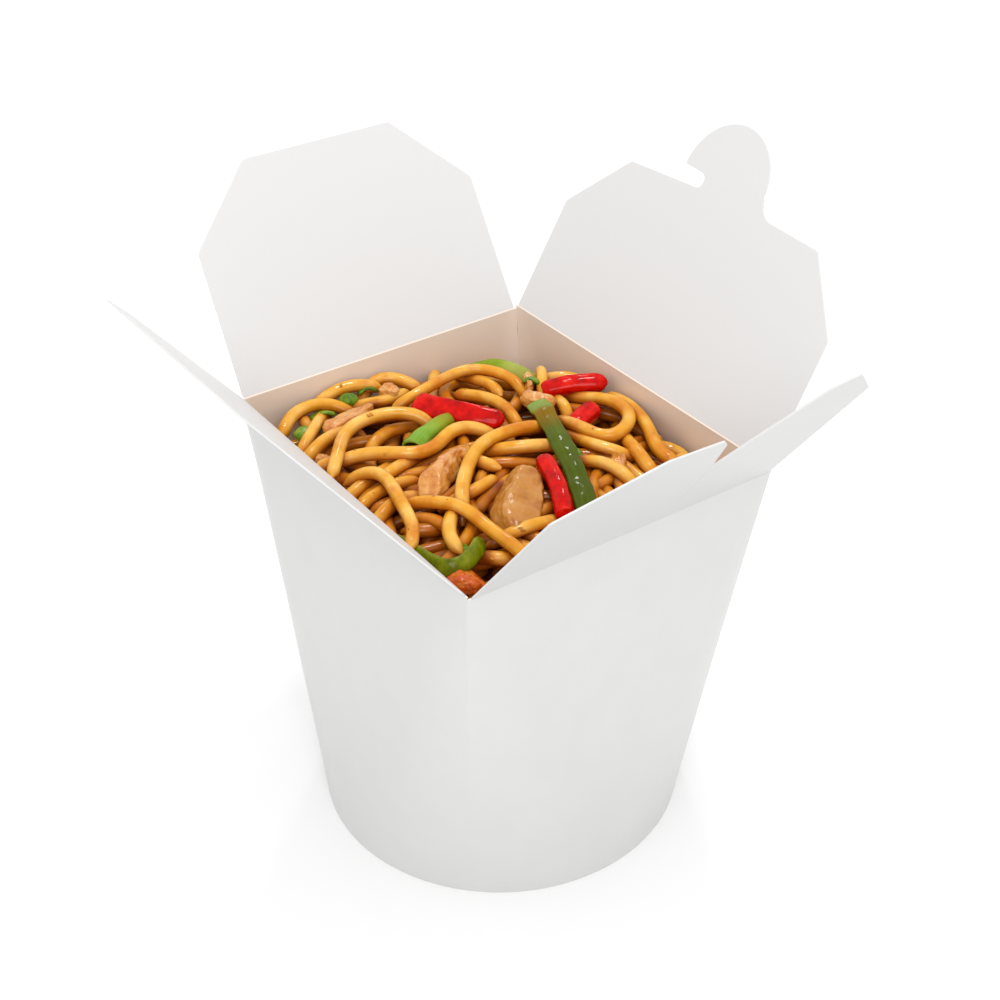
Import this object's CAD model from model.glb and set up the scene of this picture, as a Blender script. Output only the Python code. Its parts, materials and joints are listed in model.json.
"""A noodle takeaway box: a folded white board carton, open, full of stir-fried noodles."""

import json
import math
import random

import bmesh
import bpy
import numpy as np
from mathutils import Matrix, Vector, noise
from mathutils.bvhtree import BVHTree
from mathutils.kdtree import KDTree


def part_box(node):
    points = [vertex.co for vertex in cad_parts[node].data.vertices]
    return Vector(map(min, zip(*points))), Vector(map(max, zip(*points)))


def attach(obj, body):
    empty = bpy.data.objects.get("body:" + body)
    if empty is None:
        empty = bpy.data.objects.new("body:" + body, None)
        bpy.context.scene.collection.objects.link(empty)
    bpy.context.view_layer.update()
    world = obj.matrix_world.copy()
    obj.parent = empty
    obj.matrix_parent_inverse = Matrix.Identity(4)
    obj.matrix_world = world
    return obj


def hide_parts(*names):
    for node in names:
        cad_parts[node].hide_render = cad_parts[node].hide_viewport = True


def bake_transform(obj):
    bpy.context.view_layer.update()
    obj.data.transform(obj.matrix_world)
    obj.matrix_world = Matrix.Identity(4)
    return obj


bl_info = {
    "name": "Noodle takeaway box",
    "version": (1, 0, 0),
    "blender": (4, 5, 0),
    "location": "3D View > Sidebar > Noodle box",
    "description": "Builds a folded board carton of stir-fried noodles round its packed frame",
    "category": "Add Mesh",
}

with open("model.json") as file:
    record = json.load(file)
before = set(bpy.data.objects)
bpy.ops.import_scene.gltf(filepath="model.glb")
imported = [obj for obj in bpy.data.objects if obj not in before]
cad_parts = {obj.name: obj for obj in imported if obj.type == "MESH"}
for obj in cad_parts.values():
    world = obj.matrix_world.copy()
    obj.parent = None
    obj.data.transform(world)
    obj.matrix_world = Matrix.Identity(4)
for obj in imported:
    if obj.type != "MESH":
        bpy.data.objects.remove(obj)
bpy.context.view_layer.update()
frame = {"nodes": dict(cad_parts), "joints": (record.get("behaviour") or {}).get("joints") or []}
MM = 0.001
UP = Vector((0.0, 0.0, 1.0))
BODY = "filled_carton"

# the carton, in mm
MOUTH = (50.0, 41.7)        # half sizes of the mouth, to the wall's outer face
RIM = 105.35                # height of the folded rim
FOOT = 47.0                 # radius of the foot
FOLD_STEP = 0.4             # side folds lie below the rim by this, end folds above it
FOLD_OUT = 0.3              # a fold's axis lies this far outside the wall's face
FOLD_GAP = 0.05             # the flap's board starts this far from its axis
WALL_DROP = 0.55            # the wall's edge lies this far below the fold's axis
FLAT_SHARE = 0.4            # share of each wall that is flat at the rim
CREASE = 0.15               # how far the corner's crease runs down
RELIEF = 40.6               # half width of a side flap at its fold
SLIT = 0.08                 # width of the narrow cut that runs on from the notch
END_PLAY = 0.1              # a fold strip stops this far short of the flap's corners

# the heap, in mm
CROWN = 5.4                 # depth of the heap's mean surface below the rim
FALL = 2.4                  # how much deeper it lies beside the walls
HOLLOWS = (                 # x, y, radius and extra depth
    (-49.0, 40.5, 15.0, 6.0),
    (49.0, -40.5, 14.0, 3.0),
    (42.0, 32.0, 16.0, -1.2),
    (-30.0, -22.0, 11.0, -0.8),
)
STEP = 1.5                  # spacing of the points along a noodle
SPAN = 6                    # points over which a noodle keeps its bend
CORE_DEPTH = 10.0           # the dark core lies this far below the mean surface
CORE_FOOT = 20.0            # and its underside this far below the rim
CORE_INSET = 1.6            # gap between the core and the wall's outer face
LAY = (47.0, 38.5)          # how far from the middle the loose noodles wander
TUCK = 9.0                  # length over which a noodle's end dives
HIGHEST = 103.4             # no noodle stands higher than this, so the flaps close over them

TINTS = (-0.1, -0.05, -0.02, 0.02, 0.05, 0.1)     # how far a noodle's tone lies off the common one

TOPPINGS = ("pepper_red_1", "pepper_red_2", "pepper_red_3", "pepper_red_4", "pepper_green_1",
            "pepper_green_2", "onion_stalk", "onion_leaf", "chicken_1", "chicken_2", "chicken_3",
            "chicken_4", "carrot")

# Noodles that lie on top: height, how far its first and its last end dive, and plan points, all in mm.
TOP_NOODLES = (
    (102.0, 1.5, 6.0, ((-12, -38), (-20, -31), (-26, -26), (-28, -20), (-27, -13), (-24, -8), (-21, -4),
     (-17, -4))),
    (101.2, 3.5, 6.0, ((-21, -38), (-17, -28), (-13, -23), (-8, -19), (-8, -12), (-12, -6), (-13, -2),
     (-10, 3), (-6, 6))),
    (101.4, 4.0, 6.0, ((-34, -9), (-32, -1), (-34, 6), (-35, 13), (-33, 18), (-28, 21), (-22, 23),
     (-17, 21))),
    (99.6, 2.5, 3.0, ((-39, -37), (-44, -31), (-45, -25), (-43, -19), (-38, -15))),
    (101.4, 5.5, 2.0, ((-12, -35), (-9, -30), (-4, -28), (3, -30), (11, -32), (18, -34), (23, -38))),
    (100.6, 4.0, 2.0, ((2, -30), (9, -26), (16, -21), (22, -20), (29, -20), (36, -19), (42, -19))),
    (99.6, 2.5, 3.5, ((12, -17), (15, -22), (20, -27), (23, -29), (27, -27))),
    (101.8, 7.0, 2.0, ((17, -23), (13, -19), (8, -14), (2, -9), (-2, -3), (-3, 4), (-3, 10), (-3, 17))),
    (100.4, 3.0, 3.0, ((-5, -5), (0, 1), (3, 5), (5, 11), (8, 18))),
    (100.4, 3.0, 3.0, ((-31, 8), (-23, 11), (-17, 13), (-11, 12), (-6, 12))),
    (101.2, 3.5, 3.0, ((-16, 28), (-9, 33), (0, 36), (7, 35), (12, 30), (14, 25), (11, 22), (4, 21),
     (-5, 21))),
    (100.0, 2.5, 3.0, ((-8, 40), (2, 39), (10, 37), (17, 34), (23, 31), (28, 33))),
    (99.8, 3.0, 3.0, ((12, 9), (17, 15), (19, 17), (25, 18), (30, 18))),
    (99.4, 3.0, 3.0, ((6, 33), (14, 28), (21, 26), (29, 25))),
    (98.8, 2.5, 3.5, ((-7, -38), (-8, -32), (-9, -26), (-11, -21))),
    (98.6, 2.5, 3.5, ((0, -38), (-3, -31), (-3, -25), (-2, -19))),
    (98.2, 2.5, 3.0, ((7, -38), (4, -31), (3, -25), (3, -20))),
    (98.0, 2.5, 3.0, ((7, -31), (12, -26), (16, -25), (20, -22))),
    (99.4, 3.0, 3.0, ((-6, -29), (-7, -23), (-9, -16), (-12, -12))),
    (99.4, 3.5, 3.0, ((7, -22), (12, -16), (12, -11), (9, -5))),
    (100.6, 2.5, 2.5, ((-46, -24), (-47, -17), (-46, -10), (-43, -5))),
    (99.8, 3.5, 3.0, ((-42, -13), (-46, -8), (-47, -3), (-44, 0), (-38, 4))),
    (99.4, 2.5, 3.0, ((-26, -38), (-29, -31), (-31, -24), (-33, -19))),
    (99.2, 2.5, 3.0, ((-30, -37), (-35, -30), (-41, -24), (-44, -20))),
    (99.4, 3.0, 0.0, ((-5, -8), (1, -8), (4, -6), (8, -4))),
    (98.4, 2.5, 3.0, ((-2, -4), (4, -8), (9, -9), (13, -14))),
    (100.0, 3.0, 3.0, ((-40, 14), (-33, 16), (-27, 18), (-22, 17))),
    (99.6, 3.0, 4.5, ((-2, 19), (6, 20), (12, 19), (17, 22), (20, 27))),
    (98.4, 2.5, 2.5, ((27, -22), (29, -13), (29, -7), (24, 0))),
    (97.6, 2.5, 2.5, ((22, -26), (31, -25), (34, -21), (32, -15))),
    (101.6, 3.0, 0.0, ((-12, 26), (-18, 27), (-21, 29), (-25, 31))),
    (100.8, 2.5, 3.5, ((-19, 28), (-11, 27), (-4, 25), (0, 22))),
    (99.4, 2.5, 2.5, ((-26, 27), (-21, 33), (-18, 38), (-12, 38))),
    (98.8, 2.5, 3.0, ((-47, -27), (-40, -29), (-35, -28))),
    (96.8, 2.0, 0.0, ((30, -36), (37, -35), (41, -36))),
    (98.6, 2.5, 3.0, ((-43, -17), (-39, -12), (-37, -6), (-39, 0))),
)

# Cooked food: stops of its colour, then the size of its mottling, the size and the depth of its grain in
# mm, its roughness, the weight of its coat and how much light soaks in.
FOODS = {
    # soy sauce, boiled down and dark
    "soy_sauce_mass": ([(0.3, "#3C1804"), (0.7, "#6E3006")],
        4.0, 1.5, 0.4, 0.3, 0.6, 0.0),
    # onion's inner skin, moist
    "spring_onion_hollow": ([(0.3, "#2C3A04"), (0.5, "#43520A"), (0.7, "#66701A")],
        2.4, 0.8, 0.1, 0.3, 0.3, 0.0),
    # meat, sliced and lightly oiled
    "sauteed_chicken": ([(0.3, "#965212"), (0.5, "#B4762C"), (0.7, "#BE8640")],
        5.5, 0.9, 0.12, 0.36, 0.5, 0.25),
    # meat under a wet, glossy coat of sauce
    "glazed_chicken": ([(0.3, "#B0621A"), (0.5, "#CC8638"), (0.7, "#D9A25A")],
        3.4, 0.7, 0.22, 0.22, 1.0, 0.2),
    # root, boiled and oiled
    "cooked_carrot": ([(0.3, "#A43A04"), (0.5, "#C4560C"), (0.7, "#D47C28")],
        2.6, 0.9, 0.2, 0.26, 0.5, 0.2),
    # leaf, chopped and oiled
    "cut_green_leaf": ([(0.3, "#3E5A04"), (0.5, "#5E800C"), (0.7, "#8AA032")],
        2.4, 0.8, 0.1, 0.26, 0.4, 0.1),
    # sauce, dried to glossy grains
    "sauce_crumb": ([(0.3, "#9A4C0C"), (0.5, "#C47A20"), (0.7, "#DDA04A")],
        2.0, 0.5, 0.1, 0.25, 0.5, 0.1),
}


# ---------------------------------------------------------------- small tools

def linear(colour):
    """An sRGB hex colour as Blender's linear values with alpha. Linear values are kept as they are."""
    if not isinstance(colour, str):
        return (*colour, 1.0)
    parts = [int(colour[place:place + 2], 16) / 255.0 for place in (1, 3, 5)]
    values = [part / 12.92 if part <= 0.04045 else ((part + 0.055) / 1.055) ** 2.4 for part in parts]
    return (*values, 1.0)


def add_node(tree, kind, inputs=None, stops=None, **settings):
    """Add a node with its settings, and set or link its inputs."""
    made = tree.nodes.new(kind)
    for key, value in settings.items():
        setattr(made, key, value)
    if stops:
        ramp = made.color_ramp.elements
        while len(ramp) < len(stops):
            ramp.new(0.5)
        for element, (place, colour) in zip(ramp, stops):
            element.position = place
            element.color = linear(colour)
    for key, value in (inputs or {}).items():
        if isinstance(value, bpy.types.NodeSocket):
            tree.links.new(value, made.inputs[key])
        else:
            made.inputs[key].default_value = value
    return made


def new_material(name, **sockets):
    """A Principled material with its constants on the shader's own sockets."""
    material = bpy.data.materials.new(name)
    material.use_nodes = True
    tree = material.node_tree
    shader = tree.nodes["Principled BSDF"]
    for key, value in sockets.items():
        shader.inputs[key.replace("_", " ")].default_value = value
    return material, tree, shader


def per_mm(size):
    """The scale of a pattern whose detail is this many millimetres across."""
    return 1.0 / (size * MM)


def select_only(obj):
    """Make one object active and the only one selected."""
    bpy.ops.object.select_all(action="DESELECT")
    obj.select_set(True)
    bpy.context.view_layer.objects.active = obj


def apply_modifier(obj, kind, **settings):
    """Add a modifier and apply it."""
    modifier = obj.modifiers.new(kind.lower(), kind)
    for key, value in settings.items():
        setattr(modifier, key, value)
    select_only(obj)
    bpy.ops.object.modifier_apply(modifier=modifier.name)


def soften_edges(obj, width, wanted=lambda spot: True, turn=55.0):
    """Round off the sharp edges whose two ends are wanted, by a width in mm."""
    bm = bmesh.new()
    bm.from_mesh(obj.data)
    weight = bm.edges.layers.float.new("bevel_weight_edge")
    for edge in bm.edges:
        sharp = len(edge.link_faces) == 2 and edge.calc_face_angle() > math.radians(turn)
        edge[weight] = 1.0 if sharp and all(wanted(vert.co) for vert in edge.verts) else 0.0
    bm.to_mesh(obj.data)
    bm.free()
    apply_modifier(obj, "BEVEL", width=width * MM, segments=2, limit_method="WEIGHT")


def start_piece(name):
    """Name the primitive that was just added, and return it."""
    obj = bpy.context.active_object
    obj.name = name
    obj.data.name = name
    return obj


def cover(obj, materials):
    """Give the piece its materials, once. Solidify can only tell faces apart when they are there."""
    if not any(obj.data.materials):
        obj.data.materials.clear()
        for material in materials:
            obj.data.materials.append(material)


def finish_piece(obj, body, materials, replaces=(), angle=None):
    """Put the piece's place in its mesh, give it its materials and let it ride on its body."""
    select_only(obj)
    bpy.ops.object.transform_apply(location=True, rotation=True, scale=True)
    if angle is None:
        bpy.ops.object.shade_smooth()
    else:
        bpy.ops.object.shade_smooth_by_angle(angle=math.radians(angle))
    cover(obj, materials)
    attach(obj, body)
    if replaces:
        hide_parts(*replaces)
    obj.select_set(False)


def arc(centre, radius, start, end, steps):
    """Points along an arc, with angles in degrees."""
    turns = [math.radians(start + (end - start) * step / steps) for step in range(steps + 1)]
    return [(centre[0] + radius * math.cos(turn), centre[1] + radius * math.sin(turn)) for turn in turns]


def spaced(points, step):
    """Points at even spacing along a smooth line through the given ones."""
    knots = [Vector(point) for point in points]
    knots = [knots[0] * 2.0 - knots[1], *knots, knots[-1] * 2.0 - knots[-2]]
    parts = 20
    fine = []
    for index in range(1, len(knots) - 2):
        a, b, c, d = knots[index - 1:index + 3]
        for part in range(parts):
            t = part / parts
            fine.append(0.5 * (2.0 * b + (c - a) * t + (2.0 * a - 5.0 * b + 4.0 * c - d) * t * t
                               + (3.0 * b - a - 3.0 * c + d) * t * t * t))
    fine.append(knots[-2])
    fine = np.array([tuple(point) for point in fine])
    run = np.concatenate([[0.0], np.cumsum(np.linalg.norm(np.diff(fine, axis=0), axis=1))])
    count = max(2, int(round(run[-1] / step)) + 1)
    at = np.linspace(0.0, run[-1], count)
    return np.stack([np.interp(at, run, fine[:, axis]) for axis in range(fine.shape[1])], axis=1)


def flat_piece(name, spots):
    """A new piece: one face with its corners at the given places."""
    bpy.ops.object.select_all(action="DESELECT")
    bpy.ops.mesh.primitive_circle_add(vertices=len(spots), radius=MM, fill_type="NGON")
    piece = start_piece(name)
    for vert, spot in zip(piece.data.vertices, spots):
        vert.co = spot
    piece.data.update()
    return piece


# ---------------------------------------------------------------- materials

def lay_over(tree, under, colour, where, edge, amount):
    """A colour laid over another. Its amount runs from first to last as the value crosses the edge."""
    share = add_node(tree, "ShaderNodeMapRange", {
        "Value": where, "From Min": edge[0], "From Max": edge[1], "To Min": amount[0], "To Max": amount[1]})
    mixed = add_node(tree, "ShaderNodeMix", {
        "Factor": share.outputs["Result"], "A": under, "B": linear(colour)}, data_type="RGBA")
    return mixed.outputs["Result"]


def wet_finish(tree, shader, place, grain, depth, roughness, detail=3.0, strength=0.6):
    """A fine grain and an uneven film of sauce: sizes in mm, and the least and the most roughness."""
    fine = add_node(tree, "ShaderNodeTexNoise", {"Vector": place, "Scale": per_mm(grain), "Detail": detail})
    rough = add_node(tree, "ShaderNodeMapRange", {
        "Value": fine.outputs["Fac"], "From Min": 0.3, "From Max": 0.7,
        "To Min": roughness[0], "To Max": roughness[1]})
    tree.links.new(rough.outputs["Result"], shader.inputs["Roughness"])
    bump = add_node(tree, "ShaderNodeBump", {
        "Height": fine.outputs["Fac"], "Strength": strength, "Distance": depth * MM})
    for socket in ("Normal", "Coat Normal"):
        tree.links.new(bump.outputs["Normal"], shader.inputs[socket])


def board_material(name, colour, shade, roughness, coat, stain=None):
    """Bleached, coated paperboard: a smooth satin face with faint cloudiness and fibre.

    With a stain, the sauce and its grease have soaked it nearly up to the rim.
    """
    material, tree, shader = new_material(name, Coat_Weight=coat, Coat_Roughness=0.3, IOR=1.5)
    place = add_node(tree, "ShaderNodeTexCoord").outputs["Object"]
    cloud = add_node(tree, "ShaderNodeTexNoise", {"Vector": place, "Scale": per_mm(9.0), "Detail": 4.0})
    tone = add_node(tree, "ShaderNodeValToRGB", {"Fac": cloud.outputs["Fac"]}, [(0.3, shade), (0.7, colour)])
    base = tone.outputs["Color"]
    if stain is not None:
        height = add_node(tree, "ShaderNodeSeparateXYZ", {"Vector": place})
        patch = add_node(tree, "ShaderNodeTexNoise", {"Vector": place, "Scale": per_mm(14.0), "Detail": 3.0})
        spread = add_node(tree, "ShaderNodeMath", {
            0: patch.outputs["Fac"], 1: 2.0 * MM, 2: height.outputs["Z"]}, operation="MULTIPLY_ADD")
        edge = ((RIM - 1.55) * MM, (RIM - 0.05) * MM)
        base = lay_over(tree, base, stain, spread.outputs["Value"], edge, (1.0, 0.85))
    tree.links.new(base, shader.inputs["Base Color"])
    fibre = add_node(tree, "ShaderNodeTexNoise", {"Vector": place, "Scale": per_mm(0.5), "Detail": 3.0})
    rough = add_node(tree, "ShaderNodeMapRange", {
        "Value": fibre.outputs["Fac"], "To Min": roughness - 0.06, "To Max": roughness + 0.06})
    tree.links.new(rough.outputs["Result"], shader.inputs["Roughness"])
    grain = add_node(tree, "ShaderNodeBump", {
        "Height": fibre.outputs["Fac"], "Strength": 0.15, "Distance": 0.03 * MM})
    wave = add_node(tree, "ShaderNodeBump", {
        "Height": cloud.outputs["Fac"], "Normal": grain.outputs["Normal"], "Strength": 0.15,
        "Distance": 0.08 * MM})
    tree.links.new(wave.outputs["Normal"], shader.inputs["Normal"])
    return material


def food_material(name):
    """Cooked food under a film of sauce: mottled colour, a fine grain and a wet coat."""
    stops, patch, grain, depth, roughness, coat, soft = FOODS[name]
    material, tree, shader = new_material(
        name, Coat_Weight=coat, Coat_Roughness=0.12, IOR=1.4, Specular_IOR_Level=0.2,
        Subsurface_Weight=soft, Subsurface_Radius=(1.0, 0.45, 0.2), Subsurface_Scale=1.6 * MM)
    place = add_node(tree, "ShaderNodeTexCoord").outputs["Object"]
    mottle = add_node(tree, "ShaderNodeTexNoise", {
        "Vector": place, "Scale": per_mm(patch), "Detail": 5.0, "Roughness": 0.6})
    tone = add_node(tree, "ShaderNodeValToRGB", {"Fac": mottle.outputs["Fac"]}, stops)
    tree.links.new(tone.outputs["Color"], shader.inputs["Base Color"])
    wet_finish(tree, shader, place, grain, depth, (roughness - 0.08, roughness + 0.1))
    return material


def cut_material(name, skin, flesh, veins=0.0, along=None):
    """A cut vegetable, oiled: glossy skin, and paler flesh where the lay attribute says that it was cut.

    With along, the colour changes with the millimetres along the piece, as on a stalk or leaf.
    """
    material, tree, shader = new_material(
        name, Coat_Weight=0.3, Coat_Roughness=0.05, IOR=1.42, Specular_IOR_Level=0.02,
        Subsurface_Weight=0.1, Subsurface_Radius=(1.0, 0.4, 0.2), Subsurface_Scale=1.2 * MM)
    place = add_node(tree, "ShaderNodeTexCoord").outputs["Object"]
    lay = add_node(tree, "ShaderNodeAttribute", attribute_name="lay").outputs["Vector"]
    parts = add_node(tree, "ShaderNodeSeparateXYZ", {"Vector": lay})
    mottle = add_node(tree, "ShaderNodeTexNoise", {
        "Vector": place, "Scale": per_mm(3.2), "Detail": 5.0, "Roughness": 0.6}).outputs["Fac"]
    source = mottle
    if veins:
        stretched = add_node(tree, "ShaderNodeMapping", {"Vector": lay, "Scale": (0.05, 2.2, 0.0)})
        lines = add_node(tree, "ShaderNodeTexNoise", {
            "Vector": stretched.outputs["Vector"], "Scale": 1.0, "Detail": 2.0})
        source = add_node(tree, "ShaderNodeMix", {
            "Factor": veins, "A": source, "B": lines.outputs["Fac"]}).outputs["Result"]
    tone = add_node(tree, "ShaderNodeValToRGB", {"Fac": source}, skin).outputs["Color"]
    if along:
        length = along[-1][0]
        stray = add_node(tree, "ShaderNodeMath", {0: mottle, 1: 3.0, 2: parts.outputs["X"]},
                         operation="MULTIPLY_ADD")
        share = add_node(tree, "ShaderNodeMath", {0: stray.outputs["Value"], 1: length}, operation="DIVIDE")
        zones = add_node(tree, "ShaderNodeValToRGB", {"Fac": share.outputs["Value"]},
                         [(spot / length, colour) for spot, colour in along])
        tone = add_node(tree, "ShaderNodeMix", {"Factor": 0.7, "A": tone, "B": zones.outputs["Color"]},
                        data_type="RGBA").outputs["Result"]
    pale = add_node(tree, "ShaderNodeValToRGB", {"Fac": mottle}, flesh)
    edge = add_node(tree, "ShaderNodeMapRange", {
        "Value": parts.outputs["Z"], "From Min": 0.35, "From Max": 0.9})
    mixed = add_node(tree, "ShaderNodeMix", {
        "Factor": edge.outputs["Result"], "A": tone, "B": pale.outputs["Color"]}, data_type="RGBA")
    tree.links.new(mixed.outputs["Result"], shader.inputs["Base Color"])
    wet_finish(tree, shader, place, 0.9, 0.05, (0.13, 0.3))
    return material


def noodle_material():
    """Boiled wheat noodle, fried in soy sauce: gold and slightly clear, glossy with oil.

    The sauce turns it deep amber in the gaps, and a thin film of it lies in streaks and specks.
    """
    material, tree, shader = new_material(
        "wheat_noodle_in_sauce", Coat_Weight=0.5, Coat_Roughness=0.035, IOR=1.42, Specular_IOR_Level=0.05,
        Subsurface_Weight=0.3, Subsurface_Radius=(1.0, 0.42, 0.1), Subsurface_Scale=2.0 * MM)
    place = add_node(tree, "ShaderNodeTexCoord").outputs["Object"]
    tint = add_node(tree, "ShaderNodeAttribute", attribute_name="tint").outputs["Fac"]
    cloud = add_node(tree, "ShaderNodeTexNoise", {
        "Vector": place, "Scale": per_mm(7.0), "Detail": 3.0, "Roughness": 0.5})
    both = add_node(tree, "ShaderNodeMath", {0: cloud.outputs["Fac"], 1: tint}, operation="ADD")
    tone = add_node(tree, "ShaderNodeValToRGB", {"Fac": both.outputs["Value"]},
                    [(0.28, "#C97C14"), (0.5, "#D99A2A"), (0.72, "#E6B458")])
    film = add_node(tree, "ShaderNodeTexNoise", {
        "Vector": place, "Scale": per_mm(11.0), "Detail": 4.0, "Roughness": 0.6}).outputs["Fac"]
    sauce = add_node(tree, "ShaderNodeAttribute", attribute_name="sauce").outputs["Fac"]
    speck = add_node(tree, "ShaderNodeTexVoronoi", {
        "Vector": place, "Scale": per_mm(7.0)}).outputs["Distance"]
    layers = (
        ("#C06206", film, (0.52, 0.68), (0.0, 0.7)),
        ("#B8600C", sauce, (0.25, 0.65), (0.0, 0.75)),
        ("#742E03", sauce, (0.6, 0.97), (0.0, 0.92)),
        ("#6A2C05", speck, (0.02, 0.1), (0.34, 0.0)),
    )
    base = tone.outputs["Color"]
    for colour, where, edge, amount in layers:
        base = lay_over(tree, base, colour, where, edge, amount)
    tree.links.new(base, shader.inputs["Base Color"])
    wet_finish(tree, shader, place, 0.9, 0.06, (0.3, 0.5), detail=4.0, strength=0.5)
    return material


# ---------------------------------------------------------------- carton

def ruling(along):
    """Where a ruling of the wall meets the rim and the foot, from -1 at one corner to 1."""
    part = abs(along)
    rim = min(1.0, part / FLAT_SHARE)
    foot = max(0.0, (part - FLAT_SHARE) / (1.0 - FLAT_SHARE))
    rim += CREASE * (part - rim)
    foot += CREASE * (part - foot)
    return math.copysign(rim, along), math.copysign(foot, along)


def wall_point(wall, along, height):
    """Place on a wall's outer face at a height, in mm."""
    half_x, half_y = MOUTH
    on_rim, on_foot = ruling(along)
    rim = ((half_x, half_y * on_rim), (-half_x * on_rim, half_y),
           (-half_x, -half_y * on_rim), (half_x * on_rim, -half_y))[wall]
    turn = math.radians(90.0 * wall + 45.0 * on_foot)
    foot = (FOOT * math.cos(turn), FOOT * math.sin(turn))
    share = height / RIM
    return foot[0] + (rim[0] - foot[0]) * share, foot[1] + (rim[1] - foot[1]) * share


def wall_top(wall, step):
    """Height of the wall's edge: lower on the side walls, whose flaps fold in first."""
    is_side = wall in (0, 2) and step > 0
    return RIM - WALL_DROP - FOLD_STEP if is_side else RIM - WALL_DROP + FOLD_STEP


def build_carton(board, facets, rings, materials):
    """The tub: walls ruled from a rectangular rim to a round foot, over a flat bottom board."""
    around = 4 * facets
    bpy.ops.object.select_all(action="DESELECT")
    bpy.ops.mesh.primitive_circle_add(vertices=around, radius=FOOT * MM, fill_type="NGON")
    tub = start_piece("carton_tub")
    bpy.ops.object.mode_set(mode="EDIT")
    bpy.ops.mesh.select_mode(type="EDGE")
    bpy.ops.mesh.select_all(action="DESELECT")
    bm = bmesh.from_edit_mesh(tub.data)
    for edge in bm.edges:
        edge.select_set(True)
    bmesh.update_edit_mesh(tub.data)
    for _ in range(rings):
        bpy.ops.mesh.extrude_edges_move(TRANSFORM_OT_translate={"value": (0.0, 0.0, RIM * MM / rings)})
    bpy.ops.object.mode_set(mode="OBJECT")

    for vert in tub.data.vertices:
        level = round(vert.co.z / MM / RIM * rings)
        turn = math.degrees(math.atan2(vert.co.y, vert.co.x))
        place = round(turn / 360.0 * around + facets / 2) % around
        wall, step = divmod(place, facets)
        height = wall_top(wall, step) * level / rings
        x, y = wall_point(wall, 2.0 * step / facets - 1.0, height)
        vert.co = (x * MM, y * MM, height * MM)
    bm = bmesh.new()
    bm.from_mesh(tub.data)
    bmesh.ops.recalc_face_normals(bm, faces=bm.faces)
    bottom = min(bm.faces, key=lambda face: face.calc_center_median().z)
    if bottom.normal.z > 0.0:
        bmesh.ops.reverse_faces(bm, faces=bm.faces)
    bm.to_mesh(tub.data)
    bm.free()
    cover(tub, materials)
    apply_modifier(tub, "SOLIDIFY", thickness=board * MM, offset=-1.0,
                   material_offset=1, material_offset_rim=2)
    soften_edges(tub, 0.11, lambda spot: spot.z / MM > RIM - 1.5 or spot.z / MM < 1.0)
    finish_piece(tub, BODY, materials, ("carton",), angle=12.0)


def left_outline():
    """Plain side flap: an octagon's upper half."""
    half = [(RELIEF, FOLD_GAP), (39.8, 36.0), (21.0, 55.0)]
    return half + [(-u, v) for u, v in reversed(half)]


def right_outline():
    """Side flap with a notch whose foot runs on as a narrow slit, which takes the hook."""
    tip = [(-3.6, 49.6), (-2.9, 49.4), (-2.2, 48.8), (-1.5, 47.9),
           (-0.7, 46.8), (-0.1, 45.8), (0.2, 45.1), (0.3, 44.4)]
    notch = [(4.3, 31.8), (6.1, 20.0), (7.4, 12.0),
             (7.4 + SLIT, 12.0), (6.1 + SLIT, 20.0), (4.3 + 2.0 * SLIT, 30.6)]
    outer = [(10.0, 41.8), (19.7, 57.6), (26.2, 59.0), (38.1, 45.4), (RELIEF, FOLD_GAP)]
    return [(-RELIEF, FOLD_GAP), (-39.2, 40.0), (-17.6, 51.7)] + tip + notch + outer


def back_outline():
    """End flap with a round hook tab, an open slot on its left and a fillet on its right."""
    slot = arc((-8.3, 49.5), 1.9, -80.0, 80.0, 14)
    head = arc((-0.6, 51.8), 13.8, 180.0, 0.0, 56)
    neck = arc((19.0, 53.0), 5.4, 190.0, 262.0, 14)
    left_side = [(-49.3, FOLD_GAP), (-48.5, 30.0), (-32.0, 46.5)]
    return left_side + slot + head + neck + [(34.7, 46.8), (48.5, 30.0), (48.8, FOLD_GAP)]


def front_outline():
    """End flap cut away on its right and longest on its left."""
    return [(49.3, FOLD_GAP), (40.0, 14.0), (15.0, 45.0), (-40.0, 51.5), (-48.5, 39.0), (-49.3, FOLD_GAP)]


FLAPS = {                   # flap: its body, outline, opening angle and the ends of its fold
    "left": ("left_lid", left_outline, 60.0, (-RELIEF, RELIEF)),
    "right": ("right_lid", right_outline, 52.0, (-RELIEF, RELIEF)),
    "back": ("back_lid", back_outline, 60.0, (-49.3, 48.8)),
    "front": ("front_lid", front_outline, 51.0, (-49.3, 49.3)),
}


def fold_frame(side):
    """Place on a fold's axis, direction along it, and outward direction."""
    joint = next(joint for joint in frame["joints"] if joint["name"] == side + "_fold")
    place = Vector(joint["pos_m"])
    outward = Vector((place.x, place.y, 0.0)).normalized()
    along = Vector((0.0, 1.0, 0.0)) if side in ("left", "right") else Vector((1.0, 0.0, 0.0))
    return place, along, outward


def rounded(outline, radius):
    """The outline with each of its sharp corners rounded off."""
    steps = 3
    smooth = []
    for index, corner in enumerate(outline):
        here = Vector(corner)
        before = Vector(outline[index - 1]) - here
        after = Vector(outline[(index + 1) % len(outline)]) - here
        sharp = before.length > 4.0 and after.length > 4.0 and corner[1] > FOLD_GAP
        if not sharp:
            smooth.append(corner)
            continue
        for step in range(steps + 1):
            t = step / steps
            start = here + before.normalized() * radius
            end = here + after.normalized() * radius
            smooth.append(tuple(start * (1 - t) ** 2 + here * 2 * t * (1 - t) + end * t ** 2))
    return smooth


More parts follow.
